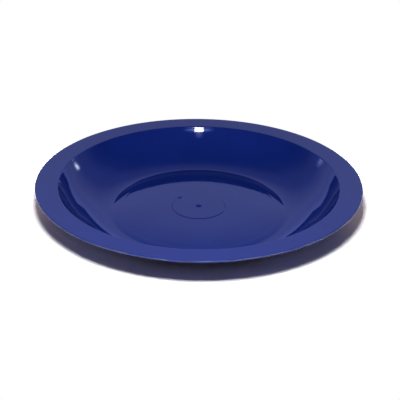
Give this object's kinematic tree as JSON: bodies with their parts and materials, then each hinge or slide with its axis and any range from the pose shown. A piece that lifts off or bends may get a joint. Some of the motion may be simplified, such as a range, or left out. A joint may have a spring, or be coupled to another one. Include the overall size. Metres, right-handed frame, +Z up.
{
  "type": "deep plate",
  "caption": "Round glossy plastic plate with a narrow rim, a well with a curved wall, a ring trough and a low crown in the floor; it holds food or small things and stands on a foot ring.",
  "frame": {"origin": "middle of the base, on the plane of the foot ring's face", "axes": "+Z up along the plate's axis of revolution; X and Y lie in the table plane"},
  "size_m": [0.22, 0.22, 0.0285],
  "materials": {
    "plate": "glossy moulded-in dark blue"
  },
  "bodies": {
    "root": {"plate": "plate"}
  },
  "joints": []
}
